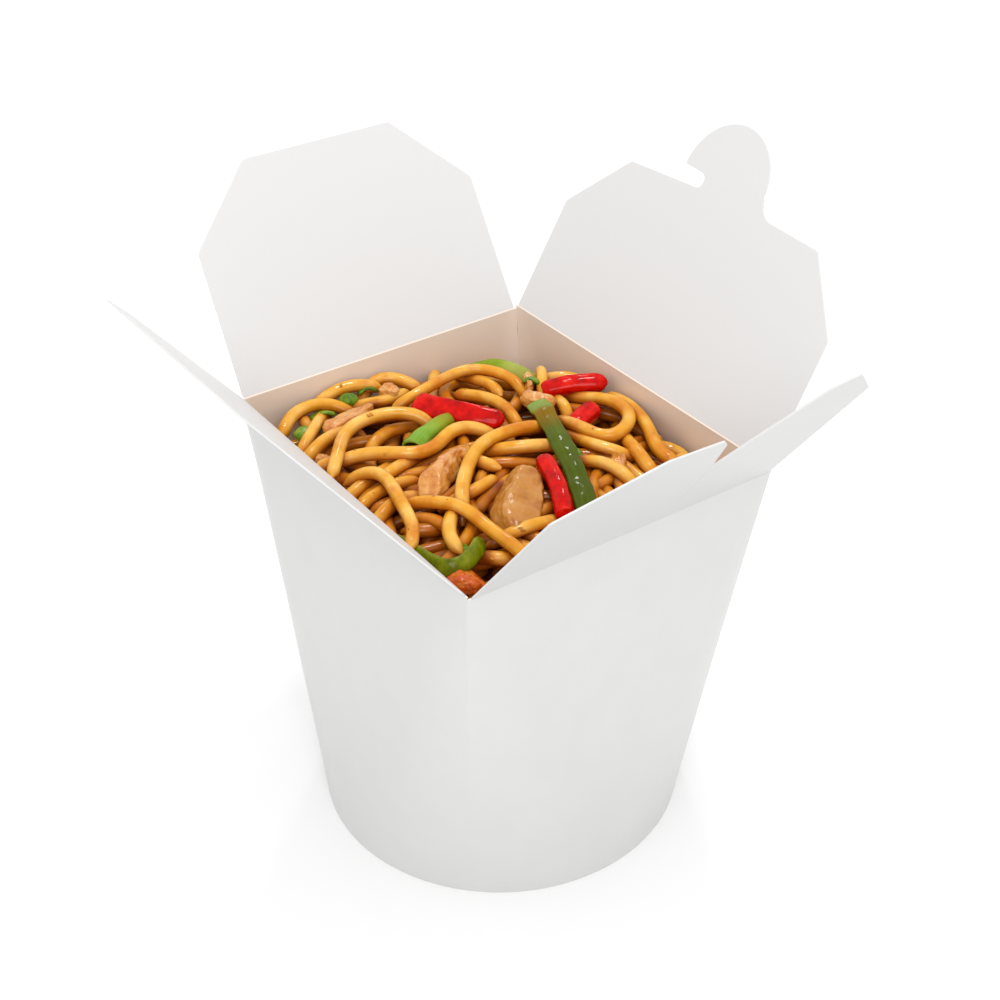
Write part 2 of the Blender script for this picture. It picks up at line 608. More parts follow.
def build_flap(side, board, materials):
    """One flap, opened by its angle: its outline cut from board, with softened edges."""
    body, outline, opening, _ = FLAPS[side]
    flap = flat_piece("lid_" + side, [(u * MM, v * MM, 0.0) for u, v in rounded(outline(), 0.7)])
    place, along, outward = fold_frame(side)
    turn = math.radians(opening)
    rise = outward * math.cos(turn) + UP * math.sin(turn)
    face = along.cross(rise)
    flap.data.transform(Matrix.Translation(place) @ Matrix((along, rise, face)).transposed().to_4x4())
    flap.data.update()
    inward = UP * math.cos(turn) - outward * math.sin(turn)
    select_only(flap)
    if flap.data.polygons[0].normal.dot(inward) > 0.0:
        bpy.ops.object.mode_set(mode="EDIT")
        bpy.ops.mesh.select_all(action="SELECT")
        bpy.ops.mesh.flip_normals()
        bpy.ops.object.mode_set(mode="OBJECT")
    cover(flap, materials)
    apply_modifier(flap, "SOLIDIFY", thickness=board * MM, offset=0.0,
                   material_offset=1, material_offset_rim=2)
    apply_modifier(flap, "BEVEL", width=0.1 * MM, segments=2,
                   limit_method="ANGLE", angle_limit=math.radians(55.0))
    finish_piece(flap, body, materials, ("flap_" + side,), angle=20.0)


def curve(a, b, c, d, steps=8):
    """Points along a bend with the four control points."""
    shares = [step / steps for step in range(steps + 1)]
    return [a * (1 - t) ** 3 + b * 3 * t * (1 - t) ** 2 + c * 3 * t * t * (1 - t) + d * t ** 3
            for t in shares]


def fold_section(board, rise):
    """Outline of a fold in its section: from wall to flap on the inside, and back outside.

    Its points are in mm outwards and up from the fold's axis.
    """
    skin = 0.01             # how far the strip stands proud of the board
    inward = Vector((-rise.y, rise.x)) * (0.5 * board + skin)
    wall_in, wall_out = -FOLD_OUT - board - skin, skin - FOLD_OUT
    lid_in = rise * FOLD_GAP + inward
    lid_out = rise * FOLD_GAP - inward
    low = lid_in - rise * 0.7
    inner = curve(Vector((wall_in, -0.6)), Vector((wall_in, -0.5)), low - rise * 0.08, low, 5)
    inner += [low.lerp(lid_in, share) for share in (0.25, 0.5, 0.75, 1.0)]
    outer = curve(lid_out, lid_out - rise * 0.15, Vector((wall_out, -0.3)), Vector((wall_out, -WALL_DROP)))
    foot = -WALL_DROP - 0.3
    lap = rise * 0.3
    return [Vector((wall_in, foot)), *inner, lid_in + lap, lid_out + lap, *outer, Vector((wall_out, foot))]


def build_fold(side, board, materials):
    """The creased strip that joins a flap to its wall and bends as the flap is turned."""
    body, _, opening, (first, last) = FLAPS[side]
    place, along, outward = fold_frame(side)
    turn = math.radians(opening)
    section = fold_section(board, Vector((math.cos(turn), math.sin(turn))))
    strip = flat_piece("fold_" + side, [
        place + (outward * spot.x + UP * spot.y + along * (first + END_PLAY)) * MM for spot in section])
    length = last - first - 2.0 * END_PLAY
    bpy.ops.object.mode_set(mode="EDIT")
    bpy.ops.mesh.select_all(action="SELECT")
    bpy.ops.mesh.extrude_region_move(TRANSFORM_OT_translate={"value": along * length * MM})
    bpy.ops.mesh.select_all(action="SELECT")
    bpy.ops.mesh.normals_make_consistent(inside=False)
    bpy.ops.object.mode_set(mode="OBJECT")
    materials = (materials[0], bpy.data.materials["lined_board_greased"], materials[1])
    finish_piece(strip, body, materials, angle=40.0)
    for face in strip.data.polygons:
        if face.normal.dot(outward) < -0.05:
            face.material_index = 1 if face.center.z < place.z - 0.35 * MM else 2
    strip.parent = None
    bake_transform(strip)


# ---------------------------------------------------------------- noodles

def heap_mean(x, y):
    """Height of the heap's mean surface, in mm, for numbers or arrays."""
    depth = CROWN + FALL * ((x / MOUTH[0]) ** 2 + (y / MOUTH[1]) ** 2)
    for hollow_x, hollow_y, radius, extra in HOLLOWS:
        depth = depth + extra * np.exp(-((x - hollow_x) ** 2 + (y - hollow_y) ** 2) / radius ** 2)
    return RIM - depth


def loose_noodles(count, seed, low, high):
    """Noodles that wander over the heap in wide bends and turn back from the walls."""
    rng = random.Random(seed)
    turn_back = 0.8         # share of the way to the walls from which a noodle is steered home
    found = []
    for number in range(count):
        x = rng.uniform(-42.0, 42.0)
        y = rng.uniform(-34.0, 34.0)
        heading = rng.uniform(0.0, 2.0 * math.pi)
        bend = rng.choice((-1.0, 1.0)) / rng.uniform(10.0, 26.0)
        length = rng.uniform(60.0, 130.0)
        depth = high + (low - high) * ((number + rng.random()) / count)
        line = []
        for _ in range(int(length / STEP)):
            line.append((x, y, heap_mean(x, y) + depth))
            if rng.random() < 0.02:
                bend = -bend
            edge = max(abs(x) / LAY[0], abs(y) / LAY[1])
            if edge > turn_back:
                home = math.atan2(-y, -x)
                side = math.sin(home - heading)
                heading += STEP * (0.16 if side > 0.0 else -0.16) * min(1.0, (edge - turn_back) * 6.0)
            heading += STEP * bend
            x += STEP * math.cos(heading)
            y += STEP * math.sin(heading)
            x = max(-LAY[0], min(LAY[0], x))
            y = max(-LAY[1], min(LAY[1], y))
        found.append(np.array(line))
    return found


def top_noodles():
    """The noodles that lie on top, whose ends dive under their neighbours."""
    found = []
    for height, first_dive, last_dive, plan in TOP_NOODLES:
        line = spaced([(x, y, height) for x, y in plan], STEP)
        run = np.arange(len(line)) * STEP
        line[:, 2] -= first_dive * np.clip(1.0 - run / TUCK, 0.0, 1.0) ** 2
        line[:, 2] -= last_dive * np.clip(1.0 - run[::-1] / TUCK, 0.0, 1.0) ** 2
        found.append(line)
    return found


def pull(place, first, last, wanted, share, apart=False):
    """Move pairs of points towards the wanted distance; with apart, only further apart."""
    gap = place[last] - place[first]
    size = np.linalg.norm(gap, axis=1) + 1e-9
    error = size - wanted
    if apart:
        error = np.minimum(error, 0.0)
    move = gap * (0.5 * share * error / size)[:, None]
    for axis in range(3):
        place[:, axis] += np.bincount(first, move[:, axis], len(place))
        place[:, axis] -= np.bincount(last, move[:, axis], len(place))


def straighten(place, middle, reach, bow, share):
    """Ease each bend that is tighter than the noodle's own, with bow its middle's own offset."""
    offset = 0.5 * (place[middle - reach] + place[middle + reach]) - place[middle]
    size = np.linalg.norm(offset, axis=1) + 1e-9
    move = offset * (share * np.maximum(0.0, 1.0 - bow / size))[:, None]
    for axis in range(3):
        place[:, axis] += np.bincount(middle, move[:, axis], len(place))
        place[:, axis] -= np.bincount(middle - reach, 0.5 * move[:, axis], len(place))
        place[:, axis] -= np.bincount(middle + reach, 0.5 * move[:, axis], len(place))


def own_bow(place, middle, reach):
    """How far each point lies off the middle of its neighbours, with a little play."""
    offset = 0.5 * (place[middle - reach] + place[middle + reach]) - place[middle]
    return np.linalg.norm(offset, axis=1) + 0.02 * reach


def steer_clear(place, solids, reach):
    """Push the points that lie nearer to a topping than this half of the way out."""
    for tree, low, high in solids:
        inside = np.all((place > low) & (place < high), axis=1)
        for number in np.nonzero(inside)[0]:
            point = Vector(place[number])
            spot, normal, _, distance = tree.find_nearest(point)
            signed = distance if (point - spot).dot(normal) > 0.0 else -distance
            if signed < reach:
                place[number] += np.array(normal) * (reach - signed) * 0.5


def hold_in(place, on_top, radius):
    """Keep the points between the core and the heap's surface, and inside the walls' round corners."""
    above = np.where(on_top, 2.8, -1.8)
    ceiling = heap_mean(place[:, 0], place[:, 1]) + above
    ceiling = np.minimum(ceiling, HIGHEST - radius)
    floor = heap_mean(place[:, 0], place[:, 1]) - CORE_DEPTH + radius
    place[:, 2] = np.clip(place[:, 2], floor, ceiling)
    wall, corner = 0.9, 6.0
    half = np.array([MOUTH[0] - wall - radius - corner, MOUTH[1] - wall - radius - corner])
    beyond = np.abs(place[:, :2]) - half
    over = np.maximum(beyond, 0.0)
    size = np.linalg.norm(over, axis=1)
    shrink = np.where(size > corner, corner / np.maximum(size, 1e-9), 1.0)
    kept = np.where(beyond > 0.0, half + over * shrink[:, None], np.abs(place[:, :2]))
    place[:, :2] = np.sign(place[:, :2]) * kept


def settle(lines, held, thickness, solids, rounds):
    """Let the noodles sink on to each other, round the toppings and against the walls."""
    place = np.concatenate(lines)
    strand = np.repeat(np.arange(len(lines)), [len(line) for line in lines])
    on_top = strand < held
    target = place.copy()
    index = np.arange(len(place))
    link = index[:-1][strand[:-1] == strand[1:]]
    middles = [(reach, index[reach:-reach][strand[:-2 * reach] == strand[2 * reach:]]) for reach in (2, 4)]
    middles = [(reach, middle, own_bow(place, middle, reach)) for reach, middle in middles]
    bend = index[:-SPAN][strand[:-SPAN] == strand[SPAN:]]
    span = np.linalg.norm(place[bend + SPAN] - place[bend], axis=1)
    radius = 0.5 * thickness
    sink = 0.05             # how far the noodles fall in a step
    home, lift = 0.12, 0.1  # share of the way that a top noodle is drawn back, in plan and in height
    touch = thickness * 0.93
    for turn in range(rounds):
        if turn % 10 == 0:
            tree = KDTree(len(place))
            for number, point in enumerate(place):
                tree.insert(point, number)
            tree.balance()
            near = np.array([
                (number, other) for number, point in enumerate(place)
                for _, other, _ in tree.find_range(point, thickness * 1.35)
                if other > number + 3 or (other > number and strand[other] != strand[number])])
        place[:, 2] -= sink
        place[on_top, :2] += home * (target[on_top, :2] - place[on_top, :2])
        place[on_top, 2] += lift * (target[on_top, 2] - place[on_top, 2])
        for _ in range(2):
            pull(place, near[:, 0], near[:, 1], touch, 0.45, apart=True)
        for _ in range(3):
            pull(place, link, link + 1, STEP, 0.9)
        pull(place, bend, bend + SPAN, span, 0.25)
        for reach, middle, bow in middles:
            straighten(place, middle, reach, bow, 0.5)
        steer_clear(place, solids, radius * 0.95)
        hold_in(place, on_top, radius)
    settled = [place[strand == number] for number in range(len(lines))]
    for line in settled:
        for _ in range(8):
            line[1:-1] = 0.5 * line[1:-1] + 0.25 * (line[:-2] + line[2:])
    return settled


def noodle_tubes(name, lines, held, thickness, seed):
    """Round tubes along the lines, made as one bevelled curve and turned into a mesh."""
    rng = random.Random(seed)
    paths = bpy.data.curves.new(name, "CURVE")
    paths.dimensions = "3D"
    paths.bevel_depth = 0.5 * thickness * MM
    paths.bevel_resolution = 3
    paths.use_fill_caps = True
    paths.resolution_u = 2
    for _ in TINTS:
        paths.materials.append(None)
    for order, line in enumerate(lines):
        spline = paths.splines.new("NURBS")
        spline.points.add(len(line) - 1)
        swell = rng.uniform(0.9, 1.05)
        phase = rng.uniform(0.0, 100.0)
        for number, (point, spot) in enumerate(zip(spline.points, line)):
            end = min(number, len(line) - 1 - number) * STEP
            tip = math.sqrt(max(0.0, 1.0 - (1.0 - min(1.0, end / 1.6)) ** 2))
            ripple = noise.noise((phase + number * 0.12, 0.0, 0.0))
            point.co = (*(spot * MM), 1.0)
            point.radius = swell * max(0.3, tip) * (1.0 + 0.04 * ripple)
        spline.order_u = 4
        spline.use_endpoint_u = True
        spline.material_index = rng.randrange(len(TINTS) // 2 if order < held else 0, len(TINTS))
    obj = bpy.data.objects.new(name, paths)
    bpy.context.scene.collection.objects.link(obj)
    select_only(obj)
    bpy.ops.object.convert(target="MESH")
    mesh = obj.data
    tint = np.zeros(len(mesh.vertices), np.float32)
    for face in mesh.polygons:
        for vertex in face.vertices:
            tint[vertex] = TINTS[face.material_index]
        face.material_index = 0
    mesh.attributes.new("tint", "FLOAT", "POINT").data.foreach_set("value", tint)
    return obj


def shelter(obj, others, reach):
    """Keep, as the attribute "sauce", the share of the sky that each point is shut off from."""
    mesh = obj.data
    points = [vert.co / MM for vert in mesh.vertices]
    faces = [tuple(face.vertices) for face in mesh.polygons]
    for other in others:
        start = len(points)
        points += [vert.co / MM for vert in other.data.vertices]
        faces += [tuple(start + vertex for vertex in face.vertices) for face in other.data.polygons]
    tree = BVHTree.FromPolygons(points, faces)
    ways = []
    for count, tilt in ((6, 0.45), (4, 1.0)):
        for step in range(count):
            turn = math.tau * (step + 0.5 * tilt) / count
            level = math.cos(tilt)
            ways.append(Vector((math.cos(turn) * level, math.sin(turn) * level, math.sin(tilt))))
    share = np.zeros(len(mesh.vertices))
    for number, vert in enumerate(mesh.vertices):
        start = points[number] + vert.normal * 0.2
        shut = [way.dot(vert.normal) <= 0.0 or tree.ray_cast(start, way, reach)[0] is not None
                for way in ways]
        share[number] = sum(shut) / len(ways)
    ends = np.zeros(2 * len(mesh.edges), np.int32)
    mesh.edges.foreach_get("vertices", ends)
    first, last = ends[0::2], ends[1::2]
    size = len(share)
    for _ in range(2):
        total = share + np.bincount(first, share[last], size) + np.bincount(last, share[first], size)
        share = total / (1.0 + np.bincount(first, minlength=size) + np.bincount(last, minlength=size))
    mesh.attributes.new("sauce", "FLOAT", "POINT").data.foreach_set("value", share.astype(np.float32))


def build_core(material):
    """The dark, sauce-soaked mass under the noodles that show."""
    bpy.ops.object.select_all(action="DESELECT")
    bpy.ops.mesh.primitive_grid_add(x_subdivisions=48, y_subdivisions=40, size=2.0)
    core = start_piece("noodle_core")
    for vert in core.data.vertices:
        x, y = vert.co.x, vert.co.y
        round_x = x * math.sqrt(1.0 - 0.12 * y * y) * (MOUTH[0] - CORE_INSET)
        round_y = y * math.sqrt(1.0 - 0.12 * x * x) * (MOUTH[1] - CORE_INSET)
        bump = 1.1 * noise.noise((round_x * 0.16, round_y * 0.16, 3.0))
        height = float(heap_mean(round_x, round_y)) - CORE_DEPTH + bump
        vert.co = (round_x * MM, round_y * MM, height * MM)
    select_only(core)
    foot = (0.0, 0.0, (RIM - CORE_FOOT) * MM)
    bpy.ops.object.mode_set(mode="EDIT")
    bpy.ops.mesh.select_all(action="SELECT")
    bpy.ops.mesh.extrude_region_move()
    bpy.ops.transform.resize(value=(0.93, 0.93, 0.0), center_override=foot)
    bpy.ops.mesh.select_all(action="SELECT")
    bpy.ops.mesh.normals_make_consistent(inside=False)
    bpy.ops.object.mode_set(mode="OBJECT")
    finish_piece(core, BODY, [material], angle=60.0)


# ---------------------------------------------------------------- toppings

def cad_tree(node, margin):
    """A search tree of a CAD node in mm, with its box grown by a margin."""
    mesh = frame["nodes"][node].data
    points = [vert.co / MM for vert in mesh.vertices]
    tree = BVHTree.FromPolygons(points, [tuple(face.vertices) for face in mesh.polygons])
    low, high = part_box(node)
    return tree, np.array(low) / MM - margin, np.array(high) / MM + margin


def slab(width, depth, round_off, hollow):
    """Cross-section of a cut strip: skin on top, cut sides and a hollowed underside."""
    half, top = 0.5 * width, 0.5 * depth
    side = [(half, -top + round_off, 0.7), (half, 0.0, 0.3), (half, 0.25 * top, 0.1)]
    crown = [(half * math.cos(turn), top * (0.3 + 0.7 * math.sin(turn)), 0.0)
             for turn in (math.radians(step) for step in range(25, 156, 13))]
    left = [(-u, v, cut) for u, v, cut in reversed(side)]
    under = [(half * share, -top + hollow * (1.0 - abs(share)) * depth, 1.0)
             for share in (-0.8, -0.4, 0.0, 0.4, 0.8)]
    return side + crown + left + under


def round_section(width, depth, count):
    """Cross-section of a stalk or leaf, started from its underside."""
    turns = [2.0 * math.pi * step / count - 0.5 * math.pi for step in range(count)]
    return [(0.5 * width * math.cos(turn), 0.5 * depth * math.sin(turn), 0.0) for turn in turns]


def sweep(name, line, section, lean, taper, twist=0.0, ends=True):
    """Roll a grid round a line, in mm: a cross-section carried along it.

    The mesh keeps a "lay" attribute: millimetres along, millimetres around, and 1 on cut faces.
    """
    around, rings = len(section), len(line)
    bpy.ops.object.select_all(action="DESELECT")
    bpy.ops.mesh.primitive_grid_add(x_subdivisions=around, y_subdivisions=rings - 1, size=1.0)
    obj = start_piece(name)
    spots = [Vector(point) for point in line]
    run = [0.0]
    for start, end in zip(spots, spots[1:]):
        run.append(run[-1] + (end - start).length)
    girth = [0.0]
    for start, end in zip(section, section[1:] + section[:1]):
        girth.append(girth[-1] + math.hypot(end[0] - start[0], end[1] - start[1]))
    lay = np.zeros((len(obj.data.vertices), 3), np.float32)
    for vert in obj.data.vertices:
        column = round((vert.co.x + 0.5) * around)
        row = round((vert.co.y + 0.5) * (rings - 1))
        u, v, cut = section[column % around]
        share = run[row] / run[-1]
        size = taper(share)
        ahead = spots[min(row + 1, rings - 1)] - spots[max(row - 1, 0)]
        aside = ahead.cross(UP).normalized()
        up = aside.cross(ahead).normalized()
        turn = math.radians(lean + twist * (share - 0.5))
        across = aside * math.cos(turn) + up * math.sin(turn)
        outward = up * math.cos(turn) - aside * math.sin(turn)
        lay[vert.index] = (run[row], girth[column], cut)
        vert.co = (spots[row] + across * u * size + outward * v * size) * MM
    obj.data.attributes.new("lay", "FLOAT_VECTOR", "POINT").data.foreach_set("vector", lay.ravel())
    bpy.ops.object.mode_set(mode="EDIT")
    bpy.ops.mesh.select_mode(type="VERT")
    bpy.ops.mesh.select_all(action="SELECT")
    bpy.ops.mesh.remove_doubles(threshold=0.01 * MM)
    if ends:
        bpy.ops.mesh.select_all(action="DESELECT")
        bpy.ops.mesh.select_non_manifold(extend=False)
        bpy.ops.mesh.edge_face_add()
        bpy.ops.mesh.select_all(action="SELECT")
        bpy.ops.mesh.fill_holes(sides=0)
    bpy.ops.mesh.select_all(action="SELECT")
    bpy.ops.mesh.normals_make_consistent(inside=False)
    bpy.ops.object.mode_set(mode="OBJECT")
    return obj


def uneven(obj, amount, size, seed):
    """Push the surface in and out by smooth noise: amount and size in mm."""
    for vert in obj.data.vertices:
        spot = vert.co / (size * MM) + Vector((seed * 7.3, 0.0, 0.0))
        vert.co += vert.normal * amount * MM * noise.noise(spot)
    obj.data.update()


def bowed(start, end, rise, bow, steps=26):
    """Points from start to end that rise and bow sideways in the middle, in mm."""
    start, end = Vector(start), Vector(end)
    run = end - start
    aside = Vector((-run.y, run.x, 0.0)).normalized()
    points = []
    for step in range(steps + 1):
        share = step / steps
        swell = 4.0 * share * (1.0 - share)
        points.append(start + run * share + aside * bow * swell + UP * (rise * swell))
    return points


def cut_strip(name, line, width, depth, hollow, lean, twist, taper, seed):
    """A strip of pepper: skin on top, paler cut flesh at its sides and ends."""
    strip = sweep(name, line, slab(width, depth, 0.5, hollow), lean, taper, twist)
    ends = [face.index for face in strip.data.polygons if len(face.vertices) > 8]
    select_only(strip)
    bpy.ops.object.mode_set(mode="EDIT")
    bpy.ops.mesh.select_mode(type="FACE")
    bpy.ops.mesh.select_all(action="DESELECT")
    bm = bmesh.from_edit_mesh(strip.data)
    bm.faces.ensure_lookup_table()
    for index in ends:
        bm.faces[index].select_set(True)
    bmesh.update_edit_mesh(strip.data)
    bpy.ops.mesh.inset(thickness=0.35 * MM, depth=0.12 * MM, use_individual=True)
    bm = bmesh.from_edit_mesh(strip.data)
    layer = bm.verts.layers.float_vector["lay"]
    for face in bm.faces:
        if face.select:
            for vert in face.verts:
                vert[layer] = Vector((vert[layer].x, vert[layer].y, 1.0))
    bmesh.update_edit_mesh(strip.data)
    bpy.ops.object.mode_set(mode="OBJECT")
    soften_edges(strip, 0.22, turn=40.0)
    uneven(strip, 0.22, 4.5, seed)
    uneven(strip, 0.05, 1.2, seed + 3)
    return strip


def lump(name, centre, size, heading, planes, seed, fibre, levels, narrow=0.0):
    """A torn or cut chunk: a rounded block, pared by planes, with the grain of its fibres."""
    bpy.ops.object.select_all(action="DESELECT")
    bpy.ops.mesh.primitive_ico_sphere_add(subdivisions=levels, radius=1.0)
    obj = start_piece(name)
    half = Vector(size) * 0.5
    cuts = [(Vector(normal).normalized(), reach) for normal, reach in planes]
    power = 2.7             # 2 gives an ellipsoid, and more gives a squarer block
    for vert in obj.data.vertices:
        way = vert.co.normalized()
        square = sum(abs(value) ** power for value in way) ** (-1.0 / power)
        point = way * square * 0.97
        for normal, reach in cuts:
            beyond = point.dot(normal) - reach
            if beyond > -0.1:
                point -= normal * (max(beyond, 0.0) * 0.92 + 0.35 * max(0.0, 0.1 - abs(beyond)))
        slim = 1.0 - narrow * (0.5 + 0.5 * point.x)
        point = Vector((point.x * half.x, point.y * half.y * slim, point.z * half.z * (0.5 + 0.5 * slim)))
        along = Vector((point.x * 0.35, point.y * 1.1, point.z * 1.1))
        coarse = noise.noise(point * 0.17 + Vector((seed, 0.0, 0.0)))
        middle = noise.noise(point * 0.45 + Vector((seed, 9.0, 0.0)))
        grain = noise.noise(along + Vector((seed, 0.0, 5.0)))
        fine = noise.noise(point * 1.7 + Vector((seed, 4.0, 5.0)))
        vert.co = (point + way * (0.45 * coarse + 0.35 * middle + fibre * grain + 0.5 * fibre * fine)) * MM
    turned = Matrix.Rotation(math.radians(heading), 4, "Z")
    obj.data.transform(Matrix.Translation(Vector(centre) * MM) @ turned)
    obj.data.update()
    return obj


def blunt(start, reach):
    """Taper of a strip: slimmer over the first share from its start, and rounded off at its end."""
    def size(share):
        past = max(0.0, share - 1.0 + reach) / reach
        before = max(0.0, start - share) / start
        return max(0.22, math.sqrt(max(0.0, 1.0 - past * past))) * (1.0 - 0.3 * before * before)
    return size


def build_peppers(red, green_back, green_hook):
    """Red and green pepper strips, each in the place of its CAD solid."""
    hook = spaced([(14.5, -37.0, 97.4), (20.0, -36.8, 98.0), (26.0, -36.4, 98.4), (31.2, -34.8, 98.8),
                   (32.6, -31.0, 99.2), (30.8, -26.6, 99.4), (27.4, -22.8, 99.0)], 0.8)
    # node and line, then width, depth, hollow, lean and twist in degrees, taper, seed and material
    strips = (
        ("pepper_red_1", bowed((-28.2, -4.6, 100.6), (-9.0, 8.8, 100.6), 1.0, -1.4),
         6.2, 3.0, 0.16, -40.0, -20.0,
         lambda share: (1.06 - 0.34 * share) * blunt(0.03, 0.08)(share), 0, red),
        ("pepper_red_2", bowed((-15.4, 25.0, 100.3), (-7.2, 39.0, 101.6), 0.6, 0.6),
         4.6, 4.0, 0.05, -24.0, -20.0, blunt(0.1, 0.2), 1, red),
        ("pepper_red_3", bowed((2.6, 22.0, 100.3), (-0.8, 31.2, 100.6), 0.3, 0.5),
         4.8, 3.4, 0.1, -14.0, -20.0, blunt(0.2, 0.25), 2, red),
        ("pepper_red_4", bowed((10.8, 5.8, 100.7), (31.2, -2.7, 98.9), 0.9, 0.8),
         4.2, 3.6, 0.1, -16.0, -20.0, blunt(0.06, 0.04), 3, red),
        ("pepper_green_1", bowed((-38.8, 18.6, 98.0), (-20.4, 25.6, 99.4), 1.2, 3.0),
         4.2, 2.8, 0.12, -20.0, 0.0, blunt(0.4, 0.1), 7, green_back),
        ("pepper_green_2", hook, 3.8, 1.7, 0.16, -62.0, 24.0, blunt(0.3, 0.08), 8, green_hook),
    )
    for node, line, width, depth, hollow, lean, twist, taper, seed, material in strips:
        strip = cut_strip(node + "_strip", line, width, depth, hollow, lean, twist, taper, seed)
        finish_piece(strip, BODY, [material], (node,))


def build_onion(stalk_material, hollow_material, leaf_material):
    """The hollow stalk, open at its lower end, and the long flat leaf."""
    line = bowed((-10.1, -16.9, 101.4), (-17.3, -1.6, 100.8), 0.3, 0.9)
    stalk = sweep("onion_stalk_tube", line, round_section(5.4, 4.4, 28), -14.0, ends=False,
                  taper=lambda share: 1.0 - 0.36 * share + 0.06 * math.sin(9.0 * share))
    cover(stalk, [stalk_material, hollow_material])
    apply_modifier(stalk, "SOLIDIFY", thickness=0.5 * MM, offset=-1.0, material_offset=1)
    uneven(stalk, 0.35, 3.4, 4)
    finish_piece(stalk, BODY, [stalk_material, hollow_material], ("onion_stalk",))
    line = bowed((-10.6, 19.4, 101.0), (32.6, 2.6, 99.6), 1.5, 0.9, steps=70)
    leaf = sweep("onion_leaf_blade", line, round_section(5.4, 1.7, 32), -6.0, twist=16.0,
                 taper=lambda share: 0.96 + 0.03 * math.sin(16.0 * share))
    soften_edges(leaf, 0.2, turn=40.0)
    crest, spread, rise = -4.6, 2.4, 0.9            # where it arches over the food beneath, in mm
    for vert in leaf.data.vertices:
        vert.co.z += rise * MM * math.exp(-(((vert.co.x / MM - crest) / spread) ** 2))
    uneven(leaf, 0.35, 4.0, 12)
    finish_piece(leaf, BODY, [leaf_material], ("onion_leaf",))


def build_chicken(sliced, glazed):
    """Four pieces of sauteed chicken: two sliced chunks and two small coated ones."""
    # node, centre, size and heading, then planes that pare it, seed, fibre, levels, narrowing and material
    pieces = (
        ("chicken_1", (0.6, -15.6, 99.9), (21.0, 8.6, 6.4), 124.0,
         (((-0.9, 0.1, 0.5), 0.72), ((0.1, -0.8, 0.5), 0.66)), 3.0, 0.12, 6, 0.5, glazed),
        ("chicken_2", (19.9, -7.9, 99.7), (24.4, 13.6, 8.8), 137.0,
         (((-0.35, -0.35, 0.87), 0.45), ((0.05, 0.85, 0.55), 0.52), ((-0.8, 0.5, 0.3), 0.72)),
         11.0, 0.12, 6, 0.2, sliced),
        ("chicken_3", (-12.6, 21.6, 100.0), (9.0, 5.6, 4.8), 34.0,
         (((0.2, 0.9, 0.4), 0.6),), 21.0, 0.32, 5, 0.1, glazed),
        ("chicken_4", (-34.6, -20.0, 98.9), (16.5, 6.2, 4.8), 106.0,
         (((0.2, 0.2, 0.9), 0.6),), 31.0, 0.3, 5, 0.3, glazed),
    )
    for node, centre, size, heading, planes, seed, fibre, levels, narrow, material in pieces:
        chunk = lump(node + "_meat", centre, size, heading, planes, seed, fibre, levels, narrow)
        finish_piece(chunk, BODY, [material], (node,))


def build_carrot(material):
    """A small block of carrot near the front corner."""
    planes = (((0.7, 0.2, 0.6), 0.55),)
    chunk = lump("carrot_cut", (35.0, -32.4, 96.4), (8.4, 6.4, 4.8), 60.0, planes, 41.0, 0.3, 5)
    finish_piece(chunk, BODY, [material], ("carrot",))


def join_pieces(name, parts, material):
    """Join like pieces into one that rides on the carton's body."""
    bpy.ops.object.select_all(action="DESELECT")
    for part in parts:
        part.select_set(True)
    bpy.context.view_layer.objects.active = parts[0]
    bpy.ops.object.join()
    parts[0].name = name
    parts[0].data.name = name
    finish_piece(parts[0], BODY, [material])


def build_leaf_bits(material):
    """Cut leaf that lies between the noodles."""
    # both ends and the width of each
    leaves = (
        ((-41.6, -27.0, 97.6), (-39.6, -21.4, 98.2), 4.6), ((-36.6, -34.0, 97.2), (-34.4, -29.8, 97.8), 3.8),
        ((-44.4, -11.4, 98.4), (-42.6, -7.4, 98.8), 3.6), ((-42.6, -17.4, 98.6), (-40.6, -14.6, 98.6), 3.4),
        ((-20.6, 22.6, 101.2), (-17.8, 25.8, 101.0), 2.8), ((9.0, 14.6, 98.0), (13.0, 15.0, 98.2), 3.0),
        ((22.6, -28.2, 96.4), (26.6, -26.0, 96.6), 3.6),
    )
    parts = []
    for number, (first, last, width) in enumerate(leaves):
        line = bowed(first, last, 0.9, 0.5, steps=10)
        part = sweep("leaf_bit", line, round_section(width, 1.2, 14), 25.0 * (-1) ** number,
                     taper=lambda share: 0.75 + 0.25 * math.sin(math.pi * share))
        uneven(part, 0.4, 2.6, number)
        parts.append(part)
    join_pieces("onion_bits", parts, material)


def build_shreds(material):
    """Shreds of meat that lie between the noodles."""
    # centre, size and heading of each
    shreds = (
        ((-20.6, 24.4, 100.8), (7.0, 2.4, 3.4), 150.0), ((-39.2, -5.2, 99.0), (5.6, 4.4, 4.2), 20.0),
        ((20.6, 21.0, 98.4), (9.0, 4.6, 4.0), -35.0), ((-32.0, -2.2, 98.6), (5.0, 3.0, 3.0), 70.0),
        ((-9.6, -24.6, 97.6), (6.0, 3.4, 3.0), 100.0), ((-5.6, -6.6, 98.4), (5.4, 3.0, 3.0), 30.0),
        ((14.4, 24.0, 97.8), (5.0, 3.2, 3.2), 80.0), ((33.0, -6.0, 97.2), (6.4, 4.0, 3.6), 10.0),
        ((-24.0, -33.0, 96.8), (5.2, 3.2, 3.0), 40.0), ((30.0, 20.0, 98.0), (6.0, 3.8, 3.4), 120.0),
        ((-14.0, 33.0, 98.4), (5.6, 3.4, 3.2), 60.0), ((38.0, 14.0, 98.0), (5.4, 3.6, 3.2), 100.0),
    )
    parts = [lump("shred", centre, size, heading, (), 50.0 + number, 0.5, 5, 0.2)
             for number, (centre, size, heading) in enumerate(shreds)]
    join_pieces("chicken_shreds", parts, material)


